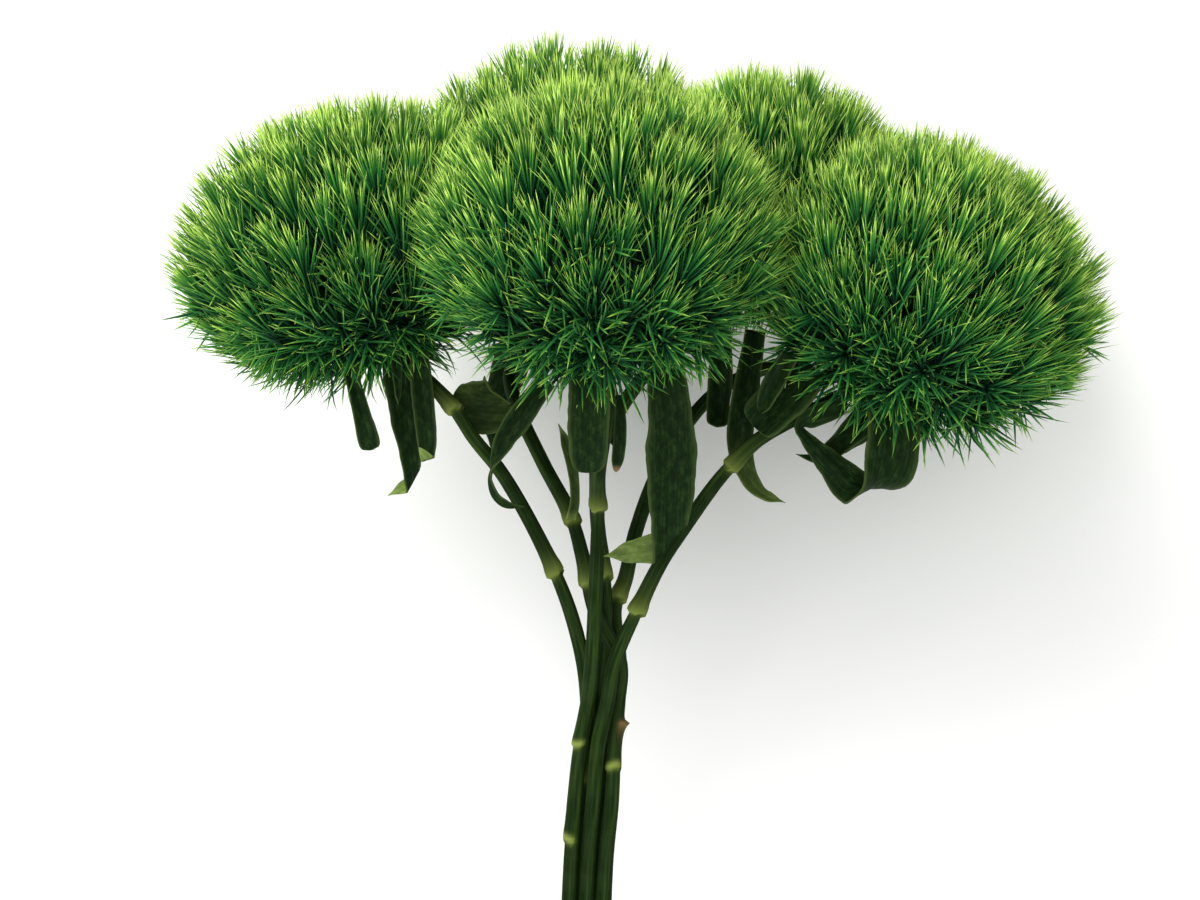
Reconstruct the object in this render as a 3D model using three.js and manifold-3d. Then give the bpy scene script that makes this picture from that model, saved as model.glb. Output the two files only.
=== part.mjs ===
// A round bouquet of green ball carnations lying on a table, in millimetres.
// Six leafless lower stems are tied into one bundle, fork at the neck and each carry one bristly head;
// strap-shaped leaves hang below the heads.
//
// Everything is drawn in the bouquet's own frame: Y runs from the cut ends to the heads, X is to its right
// and Z towards the side that faces up. The whole group is then tilted until heads and stem ends both rest
// on Z = 0, and centred over the origin.

import * as THREE from "three";
import { mergeVertices } from "three/addons/utils/BufferGeometryUtils.js";
import Module from "manifold-3d";

const wasm = await Module();
wasm.setup();

// ---------------------------------------------------------------- driving sizes

const stemDiameter = 4.3;
const kneeSwell = 0.65; // how far a joint stands out from its stem
const stemGap = kneeSwell - 0.1; // between neighbouring stems in the bundle, so that a joint clears the next stem
const kneeLength = 6.5;
const headScale = 1; // size of every head about its own middle
const headGap = 0.6; // between two heads that press on each other
const entryGap = 0.4; // between a head and the stem or leaf that comes out of it
const leafThickness = 0.7;
const leafScale = 1; // width of every leaf
const tieWidth = 7;
const tieThickness = 1.3;
const tieGap = 0.45; // between the tie and the stems it holds
const bundleLength = 118; // from the cut ends to where the bundle starts to open
const tieHeight = 82; // 36 below the opening

const pitch = stemDiameter + stemGap;

// ---------------------------------------------------------------- shared colours

const colours = {
  bristle: { color: 0x4c8a32, roughness: 0.62, metalness: 0 },
  stem: { color: 0x2b4720, roughness: 0.48, metalness: 0 },
  leaf: { color: 0x24401f, roughness: 0.5, metalness: 0 },
  twine: { color: 0xa88a58, roughness: 0.9, metalness: 0 },
};

// ---------------------------------------------------------------- solids

function toSolid(geometry) {
  const bare = geometry.index ? geometry.toNonIndexed() : geometry.clone();
  bare.deleteAttribute("normal");
  bare.deleteAttribute("uv");
  const merged = mergeVertices(bare, 1e-4);
  return new wasm.Manifold(
    new wasm.Mesh({
      numProp: 3,
      vertProperties: new Float32Array(merged.attributes.position.array),
      triVerts: new Uint32Array(merged.index.array),
    }),
  );
}

function toGeometry(solid) {
  const mesh = solid.getMesh();
  const geometry = new THREE.BufferGeometry();
  geometry.setAttribute("position", new THREE.BufferAttribute(mesh.vertProperties, 3));
  geometry.setIndex(new THREE.BufferAttribute(mesh.triVerts, 1));
  const flat = geometry.toNonIndexed();
  flat.computeVertexNormals();
  return flat;
}

const bouquet = new THREE.Group();

function addMesh(name, solid, colour) {
  const mesh = new THREE.Mesh(toGeometry(solid), new THREE.MeshStandardMaterial(colours[colour]));
  mesh.name = name;
  bouquet.add(mesh);
}

const point = (xyz) => new THREE.Vector3(...xyz);

// ---------------------------------------------------------------- heads

// middle is the centre of the widest ring, up and down are the dome's heights above and below it.
const headSizes = {
  head_front: { middle: [0.5, 283, 48], radius: 49, up: 43.5, down: 41, lean: [0, 1, 0.1] },
  head_left: { middle: [-66.5, 282, 2], radius: 50, up: 42.5, down: 28, lean: [-0.27, 1, 0] },
  head_right: { middle: [86.5, 270, 27], radius: 47.5, up: 42, down: 40, lean: [0.35, 1, 0.05] },
  head_back: { middle: [-8, 297, -48], radius: 50, up: 50, down: 40, lean: [0, 1, -0.1] },
  head_back_right: { middle: [48, 296, -12], radius: 39, up: 39, down: 31, lean: [0.1, 1, 0] },
  head_far_right: { middle: [93, 282, -57], radius: 43, up: 37, down: 33, lean: [0.42, 1, -0.1] },
};
const domeSides = 24;
const domeRings = 13;

function domeSolid(head, grow) {
  const outline = [];
  for (let i = 0; i <= domeRings; i += 1) {
    const angle = (i / domeRings - 0.5) * Math.PI;
    const height = (angle < 0 ? head.down : head.up) * headScale + grow;
    const radius = i % domeRings === 0 ? 0 : Math.cos(angle) * (head.radius * headScale + grow);
    outline.push(new THREE.Vector2(radius, Math.sin(angle) * height));
  }
  const dome = new THREE.LatheGeometry(outline, domeSides);
  const turn = new THREE.Quaternion().setFromUnitVectors(
    new THREE.Vector3(0, 1, 0),
    point(head.lean).normalize(),
  );
  dome.applyQuaternion(turn);
  dome.translate(...head.middle);
  return toSolid(dome);
}

// The block on the far side of the flat face where head presses on other.
function beyondContact(head, other, gap) {
  const from = point(head.middle);
  const towards = point(other.middle).sub(from);
  const apart = towards.length();
  const [a, b] = [head.radius * headScale, other.radius * headScale];
  if (apart >= a + b) return null;
  const toFace = (apart * apart + a * a - b * b) / (2 * apart) - gap / 2;
  const size = 4 * a;
  const block = new THREE.BoxGeometry(size, size, size);
  block.translate(0, 0, toFace + size / 2);
  block.applyQuaternion(
    new THREE.Quaternion().setFromUnitVectors(new THREE.Vector3(0, 0, 1), towards.normalize()),
  );
  block.translate(...head.middle);
  return toSolid(block);
}

function headSolid(name, grow) {
  let solid = domeSolid(headSizes[name], grow);
  for (const [otherName, other] of Object.entries(headSizes)) {
    if (otherName === name) continue;
    const block = beyondContact(headSizes[name], other, headGap - 2 * grow);
    if (block) solid = solid.subtract(block);
  }
  return solid;
}

const headNames = Object.keys(headSizes);
for (const name of headNames) addMesh(name, headSolid(name, 0), "bristle");

let roomForHeads = headSolid(headNames[0], entryGap);
for (const name of headNames.slice(1)) roomForHeads = roomForHeads.add(headSolid(name, entryGap));

// What is left of a stem or leaf outside the heads.
function outsideHeads(solid) {
  return solid
    .subtract(roomForHeads)
    .decompose()
    .sort((a, b) => b.volume() - a.volume())[0];
}

// ---------------------------------------------------------------- stems

// Stations along the bundle: height above the cut ends, and where the bundle's middle is in X there.
const stations = [
  { y: 118 - bundleLength, x: -6.4 },
  { y: 118 - 0.62 * bundleLength, x: -5.4 },
  { y: tieHeight, x: -4.4 },
  { y: 118, x: -3.1 },
  { y: 134, x: -2 },
  { y: 150, x: -0.8 },
  { y: 161, x: 0.2 },
  { y: 172, x: 0.7 },
  { y: 186, x: 1 },
];

// slots: X and Z in the bundle in units of pitch, the first from the cut ends up to y 118, then one for each
// later station. branch: the free stem from the neck into its head. knees: heights of the swollen joints.
const stemRoutes = {
  stem_front: {
    slots: [[-1, 0.36], [-1.02, 0.4], [-0.93, 0.55], [-0.74, 1.2], [-0.6, 1.8], [-0.5, 2.1]],
    branch: [[-0.5, 212.5, 20], [-0.5, 222.5, 28], [1, 233.5, 38], [2, 243, 44], [0.5, 258, 47]],
    knees: [151, 217],
  },
  stem_left: {
    slots: [[-0.5, -0.52], [-0.5, -0.48], [-0.52, -0.45], [-0.75, -0.5], [-1.1, -0.3], [-1.9, 0]],
    branch: [[-13, 198, 0], [-20.5, 213, 1], [-27.5, 224.5, 2], [-34, 232.5, 3], [-41, 242.5, 3], [-54, 265, 2]],
    knees: [198, 242.5],
  },
  stem_right: {
    slots: [[-0.01, 0.36], [0.02, 0.44], [0.07, 0.88], [0.35, 1.1], [0.65, 1.35], [1.83, 1.6]],
    branch: [[16.5, 199.5, 12], [22, 208, 15], [31.5, 221.5, 20], [36, 226.5, 21], [43, 233, 23], [69, 252, 28]],
    knees: [188, 226.5],
  },
  stem_back: {
    slots: [[0.97, 0.36], [1.06, 0.3], [0.97, 0.28], [0.97, 0.22], [0.97, 0.2], [-0.5, 0.55]],
    branch: [[-5, 201.5, -3], [-8, 211.5, -8], [-16, 226.5, -19], [-24, 244, -33], [-25, 253, -41], [-18.5, 266.5, -46]],
    knees: [144, 194.5, 211.5],
  },
  stem_back_right: {
    slots: [[0, -1.45], [0, -1.5], [-0.05, -1.5], [-0.12, -1.3], [-0.02, -0.9], [0.1, -0.35]],
    branch: [[1, 196.5, -4], [-0.5, 208, -7], [-1, 218.5, -10], [0, 229.5, -11], [14, 252.5, -12], [30.5, 266, -12]],
    knees: [196.5],
  },
  stem_far_right: {
    slots: [[0.5, -0.6], [0.54, -0.66], [0.6, -0.75], [0.85, -1.05], [0.95, -1.4], [0.65, -1.3]],
    branch: [[7, 194.5, -9], [10, 207.5, -16], [18, 227, -27], [33.5, 246.5, -43], [54.5, 255.5, -52], [84, 267, -57]],
    knees: [190],
  },
};
const stemSides = 12;
const stemSteps = 36;
const bundleStations = 4; // stations that share the first slot

function stemCurve(route) {
  const inBundle = stations.map((station, i) => {
    const [x, z] = route.slots[Math.max(0, i - bundleStations + 1)];
    return new THREE.Vector3(station.x + x * pitch, station.y, z * pitch);
  });
  return new THREE.CatmullRomCurve3([...inBundle, ...route.branch.map(point)]);
}

// The curve's share at which it reaches a height above the cut ends.
function shareAtHeight(curve, height) {
  let [low, high] = [0, 1];
  for (let i = 0; i < 30; i += 1) {
    const middle = (low + high) / 2;
    if (curve.getPointAt(middle).y < height) low = middle;
    else high = middle;
  }
  return low;
}

function kneeSolid(curve, height) {
  const share = shareAtHeight(curve, height);
  const radius = stemDiameter / 2 + kneeSwell;
  const knee = new THREE.SphereGeometry(1, 10, 6);
  knee.scale(radius, kneeLength / 2, radius);
  knee.applyQuaternion(
    new THREE.Quaternion().setFromUnitVectors(new THREE.Vector3(0, 1, 0), curve.getTangentAt(share)),
  );
  knee.translate(...curve.getPointAt(share));
  return toSolid(knee);
}

function stemSolid(route) {
  const section = new THREE.Shape().absarc(0, 0, stemDiameter / 2, 0, 2 * Math.PI, false);
  const curve = stemCurve(route);
  const tube = new THREE.ExtrudeGeometry(section, {
    steps: stemSteps,
    curveSegments: stemSides / 2,
    bevelEnabled: false,
    extrudePath: curve,
  });
  let solid = toSolid(tube);
  for (const height of route.knees) solid = solid.add(kneeSolid(curve, height));
  return outsideHeads(solid);
}

for (const [name, route] of Object.entries(stemRoutes)) addMesh(name, stemSolid(route), "stem");

// ---------------------------------------------------------------- tie

// Convex outline round the stems where the tie sits, grown by margin.
function bundleOutline(margin) {
  const around = [];
  for (const route of Object.values(stemRoutes)) {
    const [x, z] = route.slots[0];
    for (let i = 0; i < 24; i += 1) {
      const angle = (i / 24) * 2 * Math.PI;
      const radius = stemDiameter / 2 + margin;
      around.push([x * pitch + Math.cos(angle) * radius, z * pitch + Math.sin(angle) * radius]);
    }
  }
  around.sort((a, b) => a[0] - b[0] || a[1] - b[1]);
  const turnsLeft = (a, b, c) => (b[0] - a[0]) * (c[1] - a[1]) - (b[1] - a[1]) * (c[0] - a[0]) > 1e-9;
  const chain = (points) => {
    const kept = [];
    for (const p of points) {
      while (kept.length > 1 && !turnsLeft(kept.at(-2), kept.at(-1), p)) kept.pop();
      kept.push(p);
    }
    return kept.slice(0, -1);
  };
  const hull = [...chain(around), ...chain([...around].reverse())];
  return hull.map(([x, z]) => new THREE.Vector2(x, z));
}

function tieSolid() {
  const band = new THREE.Shape(bundleOutline(tieGap + tieThickness));
  band.holes.push(new THREE.Path(bundleOutline(tieGap)));
  const ring = new THREE.ExtrudeGeometry(band, { depth: tieWidth, bevelEnabled: false });
  ring.rotateX(Math.PI / 2);
  const station = stations.find(({ y }) => y === tieHeight);
  ring.translate(station.x, tieHeight + tieWidth / 2, 0);
  return toSolid(ring);
}

// ---------------------------------------------------------------- leaves

// route: from where the leaf leaves its stem to its tip. width: at its widest. blunt: 0 for a long point, 1 for a
// broad rounded end. faces: the way its upper side looks at each share of its length.
const leafRoutes = {
  leaf_left_outer: {
    route: [
      [-70, 262.1, 9], [-68.3, 255.1, 9], [-66.2, 246.4, 9.5], [-64.3, 239.2, 9.5], [-62.7, 233.2, 9],
      [-61.8, 229.7, 8.5],
    ],
    width: 5, blunt: 1, faces: [[0, [-0.5, 0, 1]], [0.55, [0.4, 0, 1]], [1, [-0.2, 0.1, 1]]],
  },
  leaf_left_long: {
    route: [
      [-60, 262.5, -4], [-58.5, 251.5, -4], [-56.5, 240, -4], [-53, 228, -2.5], [-52, 221.5, -0.5],
      [-56.5, 219, 2],
    ],
    width: 8, blunt: 0.1, faces: [[0, [0, 0, 1]], [1, [0.1, 0.2, 1]]],
  },
  leaf_left_short: {
    route: [[-49.1, 260.7, 11], [-48.5, 252.6, 11], [-47.7, 243.2, 11], [-46.9, 235.1, 11.5], [-46.3, 227.8, 12]],
    width: 6.2, blunt: 0.6, faces: [[0, [0.2, 0.1, 1]], [1, [-0.1, 0, 1]]],
  },
  leaf_left_inner: {
    route: [[-57.5, 262, 8], [-56, 258, 8], [-55, 251.5, 8], [-54.5, 242, 8]],
    width: 2.8, blunt: 0.2, faces: [[0, [0, 0, 1]], [1, [0.4, 0, 1]]],
  },
  leaf_left_curl: {
    route: [
      [-39.6, 245.5, -2], [-37.2, 244.2, -2.8], [-34.4, 242.5, -3.2], [-30.9, 241.7, -3], [-27.3, 241.4, -1.5],
      [-24.2, 241.9, 1],
    ],
    width: 14, blunt: 0.9, faces: [[0, [0.1, -0.1, 1]], [0.5, [0, 0, 1]], [1, [-0.5, -0.1, 1]]],
  },
  leaf_neck_twist: {
    route: [
      [-14.5, 248.5, 13.5], [-18.5, 242.9, 14], [-22, 237.8, 14], [-25.3, 233.2, 13.5], [-27.7, 228.1, 13],
      [-29.1, 224.2, 12], [-29.4, 221.1, 11], [-27.8, 217, 10.5], [-24.7, 214.9, 10.5], [-20.2, 214.4, 11],
    ],
    width: 6.5, blunt: 0.3, faces: [[0, [0.3, 0.2, 1]], [1, [-0.5, -0.3, 0.8]]],
  },
  leaf_neck_thin: {
    route: [
      [-8.1, 210.8, -3], [-7, 215.5, -1.5], [-7.1, 221.5, 0], [-8.2, 227.8, 0], [-9.8, 233.2, 0],
      [-11.4, 236.8, 0],
    ],
    width: 2.8, blunt: 0.3, faces: [[0, [0.6, 0.2, 1]], [0.5, [0.2, 0, 1]], [1, [-0.4, 0.1, 1]]],
  },
  leaf_front_left: {
    route: [[-2.7, 250, 52], [-2.9, 241.5, 51], [-3, 234.5, 47.5], [-3, 228, 43], [-3, 223.8, 39]],
    width: 10, blunt: 1, faces: [[0, [0, 0.3, 1]], [1, [0, 0.5, 1]]],
  },
  leaf_front_right: {
    route: [[5, 244.1, 39], [5.2, 237.6, 38.5], [5, 230.8, 37], [4.2, 223.9, 35.5]],
    width: 3.2, blunt: 0.8, faces: [[0, [0.3, 0.3, 1]], [1, [0.2, 0.4, 1]]],
  },
  leaf_front_long: {
    route: [
      [17.5, 250, 41], [18.5, 241.5, 37], [18.5, 231, 33], [19, 221.5, 30], [18, 212.5, 28], [15.5, 205, 27.5],
      [11.5, 201.5, 28], [6, 200.8, 27.5], [0.5, 202, 26],
    ],
    width: 13, blunt: 0.15, faces: [[0, [0, 0.3, 1]], [1, [0.1, 0.3, 1]]],
  },
  leaf_middle: {
    route: [[33, 262, 4], [32.5, 247.5, 3], [32, 242, 3], [31.6, 236, 5]],
    width: 7, blunt: 0.8, faces: [[0, [0, 0, 1]], [1, [0.3, 0, 1]]],
  },
  leaf_right_hanging: {
    route: [[42, 262, 7], [39, 243, 8], [37.7, 232.5, 8], [39, 225, 8], [43, 218.5, 9], [50, 215.5, 10]],
    width: 8, blunt: 0.2, faces: [[0, [0.1, 0, 1]], [1, [0.3, 0.2, 1]]],
  },
  leaf_right_broad: {
    route: [[56.1, 251.9, 31], [52.4, 247.2, 31], [47.9, 242.7, 30], [44, 239, 29], [41, 235.8, 28]],
    width: 10.5, blunt: 0.9, faces: [[0, [-0.1, 0.3, 1]], [1, [-0.3, 0.3, 1]]],
  },
  leaf_right_inner: {
    route: [[49.9, 254.4, 38], [47.1, 249.7, 37], [44.5, 244.7, 36], [42.4, 239.4, 35]],
    width: 5.6, blunt: 0.7, faces: [[0, [-0.1, 0.3, 1]], [1, [-0.3, 0.4, 1]]],
  },
  leaf_right_loop: {
    route: [
      [76.7, 246.1, 31], [77.4, 238.9, 32], [77.3, 231, 33], [75.8, 223.9, 32.5], [72, 219.4, 30],
      [67.2, 220.1, 26], [62.9, 224.4, 23.5], [58.1, 229.4, 23], [54.6, 233.2, 24], [53.1, 235.5, 26],
      [55.4, 237.9, 28], [59.9, 239.8, 28.5], [65.7, 241.9, 28.5],
    ],
    width: 12.5, blunt: 0.35, faces: [
      [0, [0.1, 0.1, 1]], [0.26, [0.1, -0.15, 1]], [0.42, [0.33, -0.94, 0]], [0.52, [0.25, -0.4, -1]],
      [0.68, [0.2, -0.2, -1]], [0.78, [-0.6, -0.2, -1]], [0.9, [-0.3, 0.2, -1]], [1, [-0.2, 0.3, -1]],
    ],
  },
  leaf_right_lower: {
    route: [
      [75.7, 245.3, 15], [71.9, 239.1, 16], [67, 234, 17], [62.2, 229.7, 17.5], [57.6, 227.6, 18],
      [52.4, 228.6, 19],
    ],
    width: 8, blunt: 0.1, faces: [[0, [0.1, 0.1, 1]], [1, [-0.2, 0.2, 1]]],
  },
  leaf_back_left: {
    route: [[-22, 268, -46], [-26, 252, -51], [-30, 239, -53], [-29, 227, -52]],
    width: 10.5, blunt: 0.2, faces: [[0, [-0.2, 0.1, -1]], [1, [0, 0.2, -1]]],
  },
  leaf_back_middle: {
    route: [[-8, 268, -50], [-2, 253, -54], [3, 240, -54], [4, 230, -51]],
    width: 9.5, blunt: 0.3, faces: [[0, [0.2, 0, -1]], [1, [0.1, -0.3, -1]]],
  },
  leaf_far_right: {
    route: [[86, 262, -64], [81, 248, -69], [76, 236, -71], [68, 228, -70]],
    width: 10.5, blunt: 0.2, faces: [[0, [0.1, 0.1, -1]], [1, [0.2, 0.3, -1]]],
  },
  leaf_far_right_inner: {
    route: [[91, 262, -42], [92, 249, -38], [90, 238, -36], [84, 230, -37]],
    width: 8.5, blunt: 0.4, faces: [[0, [0.2, 0, 1]], [1, [0.4, 0.2, 1]]],
  },
};
const leafSteps = 18;
const leafCells = 2;
const tipHalfWidth = 0.35;

// Half the leaf's width at a share of its length: narrow where it clasps the stem, widest before the middle.
function leafHalfWidth(leaf, share) {
  const base = 0.55 + 0.45 * Math.min(1, share / 0.3);
  const long = Math.pow(1 - share, 0.55 + 0.35 * (1 - leaf.blunt));
  const round = Math.sqrt(Math.max(0, 1 - Math.pow(share, 9)));
  const taper = leaf.blunt * round + (1 - leaf.blunt) * Math.min(1, 1.25 * long);
  return tipHalfWidth + (leaf.width * leafScale * 0.5 - tipHalfWidth) * base * Math.min(1, taper);
}

// The way the leaf's upper side looks at a share of its length.
function leafFacing(leaf, share) {
  const next = Math.max(1, leaf.faces.findIndex(([at]) => at >= share));
  const [[from, start], [to, end]] = leaf.faces.slice(next - 1, next + 1);
  return point(start).lerp(point(end), (share - from) / (to - from));
}

function leafSolid(leaf) {
  const curve = new THREE.CatmullRomCurve3(leaf.route.map(point));
  const blade = new THREE.BoxGeometry(2, 1, 1, leafCells, leafSteps, 1);
  const places = blade.attributes.position;
  for (let i = 0; i < places.count; i += 1) {
    const across = places.getX(i);
    const share = places.getY(i) + 0.5;
    const side = places.getZ(i);
    const along = curve.getTangentAt(share);
    const width = new THREE.Vector3().crossVectors(along, leafFacing(leaf, share)).normalize();
    const up = new THREE.Vector3().crossVectors(width, along).normalize();
    const place = curve.getPointAt(share);
    place.addScaledVector(width, across * leafHalfWidth(leaf, share));
    place.addScaledVector(up, side * leafThickness);
    places.setXYZ(i, ...place);
  }
  const solid = toSolid(blade);
  return outsideHeads(solid);
}

for (const [name, leaf] of Object.entries(leafRoutes)) addMesh(name, leafSolid(leaf), "leaf");
addMesh("twine_tie", tieSolid(), "twine");

// ---------------------------------------------------------------- lying down

const everyPoint = [];
for (const mesh of bouquet.children) {
  const places = mesh.geometry.attributes.position;
  const holdsHeads = headNames.includes(mesh.name);
  for (let i = 0; i < places.count; i += 1) {
    everyPoint.push({ y: places.getY(i), z: places.getZ(i), holdsHeads });
  }
}

// How much lower the heads reach than the rest once the bouquet is tilted.
function headsBelowStems(tilt) {
  let [heads, others] = [Infinity, Infinity];
  for (const { y, z, holdsHeads } of everyPoint) {
    const height = y * Math.sin(tilt) + z * Math.cos(tilt);
    if (holdsHeads) heads = Math.min(heads, height);
    else others = Math.min(others, height);
  }
  return others - heads;
}

let [flat, steep] = [0, Math.PI / 4];
for (let i = 0; i < 40; i += 1) {
  const middle = (flat + steep) / 2;
  if (headsBelowStems(middle) > 0) flat = middle;
  else steep = middle;
}
bouquet.rotation.x = flat;

const lying = new THREE.Group();
lying.add(bouquet);
const box = new THREE.Box3().setFromObject(lying, true);
const middle = box.getCenter(new THREE.Vector3());
bouquet.position.set(-middle.x, -middle.y, -box.min.z);

export default lying;
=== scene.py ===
"""A round bouquet of green ball carnations, tied with twine and lying on a pale table.

The bouquet is drawn in its own frame, in millimetres: Y runs from the cut ends to the heads, X to its right and
Z to the side that faces up. Each finished piece is then laid down on the table, in metres, by LYING.
"""

import math
import random

import bmesh
import bpy
from mathutils import Matrix, Quaternion, Vector
from mathutils.bvhtree import BVHTree
from mathutils.noise import noise


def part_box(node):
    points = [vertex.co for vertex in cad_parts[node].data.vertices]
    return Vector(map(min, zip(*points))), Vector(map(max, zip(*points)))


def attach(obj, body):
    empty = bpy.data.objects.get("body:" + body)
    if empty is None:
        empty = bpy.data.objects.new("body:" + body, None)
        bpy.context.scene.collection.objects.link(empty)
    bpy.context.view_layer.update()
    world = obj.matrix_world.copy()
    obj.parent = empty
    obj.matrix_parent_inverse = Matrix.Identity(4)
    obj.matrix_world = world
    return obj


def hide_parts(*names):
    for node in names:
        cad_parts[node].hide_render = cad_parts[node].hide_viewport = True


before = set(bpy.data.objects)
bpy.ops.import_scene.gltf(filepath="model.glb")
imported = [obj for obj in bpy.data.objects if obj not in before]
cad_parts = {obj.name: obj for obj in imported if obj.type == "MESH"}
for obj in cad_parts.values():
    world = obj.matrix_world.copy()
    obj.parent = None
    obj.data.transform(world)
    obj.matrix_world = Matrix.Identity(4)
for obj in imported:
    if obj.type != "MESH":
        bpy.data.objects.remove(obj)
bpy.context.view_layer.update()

# ---- sizes, as in the part's source

STEM_DIAMETER = 4.3
PITCH = 4.85  # between the middles of neighbouring stems in the bundle
TIE_HEIGHT = 82

# middle: of the dome's widest ring. radius: there. lean: the way the dome points. hanging: the loose tufts below
# the head, each from its root to its point.
HEADS = {
    "head_front": dict(middle=(0.5, 283, 48), radius=49, lean=(0, 1, 0.1)),
    "head_left": dict(middle=(-66.5, 282, 2), radius=50, lean=(-0.27, 1, 0),
        hanging=[
            ((-78, 267.1, 6), (-96.3, 247, 10)),
            ((-79.3, 264.1, 14), (-90.7, 244.7, 16)),
            ((-76.7, 262.3, 2), (-84.1, 243.3, 4)),
            ((-81.3, 266.6, 20), (-98.2, 251, 22)),
            ((-73, 262.1, 8), (-79.2, 245.3, 12)),
        ],
    ),
    "head_right": dict(middle=(86.5, 270, 27), radius=47.5, lean=(0.35, 1, 0.05)),
    "head_back": dict(middle=(-8, 297, -48), radius=50, lean=(0, 1, -0.1)),
    "head_back_right": dict(middle=(48, 296, -12), radius=39, lean=(0.1, 1, 0)),
    "head_far_right": dict(middle=(93, 282, -57), radius=43, lean=(0.42, 1, -0.1)),
}

# height above the cut ends, and where the bundle's middle is in X there
STATIONS = [
    (0, -6.4), (44.84, -5.4), (TIE_HEIGHT, -4.4), (118, -3.1), (134, -2), (150, -0.8), (161, 0.2), (172, 0.7),
    (186, 1),
]
LAST_PARALLEL = 3  # the stems keep their first slots as far as this station, counted from 0

# slots: X and Z in the bundle in units of PITCH, the first as far as LAST_PARALLEL, then one for each later station.
# branch: the free stem. joints: heights of the swollen joints, with how far each stands out. A joint that stands out
# on one side only, with a pale crescent there, has that side third, as an angle round the stem. scar: the height and
# the side of the mark that a torn-off leaf left.
STEMS = {
    "stem_front": dict(
        head="head_front",
        slots=[(-1, 0.36), (-1.02, 0.4), (-0.93, 0.55), (-0.74, 1.2), (-0.6, 1.8), (-0.5, 2.1)],
        branch=[(-0.5, 212.5, 20), (-0.5, 222.5, 28), (1, 233.5, 38), (2, 243, 44), (0.5, 258, 47)],
        joints=[(22, 0.3), (72, 0.2), (124, 0.5, -2.4), (150, 0.5, -2.3), (214.5, 0.8)],
    ),
    "stem_left": dict(
        head="head_left",
        slots=[(-0.5, -0.52), (-0.5, -0.48), (-0.52, -0.45), (-0.75, -0.5), (-1.1, -0.3), (-1.9, 0)],
        branch=[(-13, 198, 0), (-20.5, 213, 1), (-27.5, 224.5, 2), (-34, 232.5, 3), (-41, 242.5, 3), (-54, 265, 2)],
        joints=[(30, 0.3), (97, 0.25), (140, 0.3), (196, 0.85), (241, 0.8)],
    ),
    "stem_right": dict(
        head="head_right",
        slots=[(-0.01, 0.36), (0.02, 0.44), (0.07, 0.88), (0.35, 1.1), (0.65, 1.35), (1.83, 1.6)],
        branch=[(16.5, 199.5, 12), (22, 208, 15), (31.5, 221.5, 20), (36, 226.5, 21), (43, 233, 23), (69, 252, 28)],
        joints=[(12, 0.3), (60, 0.25), (101, 0.2, 2.4), (186.5, 0.95), (225.5, 0.7)],
    ),
    "stem_back": dict(
        head="head_back",
        slots=[(0.97, 0.36), (1.06, 0.3), (0.97, 0.28), (0.97, 0.22), (0.97, 0.2), (-0.5, 0.55)],
        branch=[
            (-5, 201.5, -3), (-8, 211.5, -8), (-16, 226.5, -19), (-24, 244, -33), (-25, 253, -41), (-18.5, 266.5, -46),
        ],
        joints=[(40, 0.3), (98, 0.25), (143, 0.45, -1.7), (193, 0.7), (210, 0.7)],
        scar=(156, -0.45),
    ),
    "stem_back_right": dict(
        head="head_back_right",
        slots=[(0, -1.45), (0, -1.5), (-0.05, -1.5), (-0.12, -1.3), (-0.02, -0.9), (0.1, -0.35)],
        branch=[
            (1, 196.5, -4), (-0.5, 208, -7), (-1, 218.5, -10), (0, 229.5, -11), (14, 252.5, -12), (30.5, 266, -12),
        ],
        joints=[(17, 0.3), (66, 0.25), (130, 0.3), (195, 0.7)],
    ),
    "stem_far_right": dict(
        head="head_far_right",
        slots=[(0.5, -0.6), (0.54, -0.66), (0.6, -0.75), (0.85, -1.05), (0.95, -1.4), (0.65, -1.3)],
        branch=[
            (7, 194.5, -9), (10, 207.5, -16), (18, 227, -27), (33.5, 246.5, -43), (54.5, 255.5, -52), (84, 267, -57),
        ],
        joints=[(50, 0.3), (104, 0.25), (189, 0.7)],
    ),
}

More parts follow.
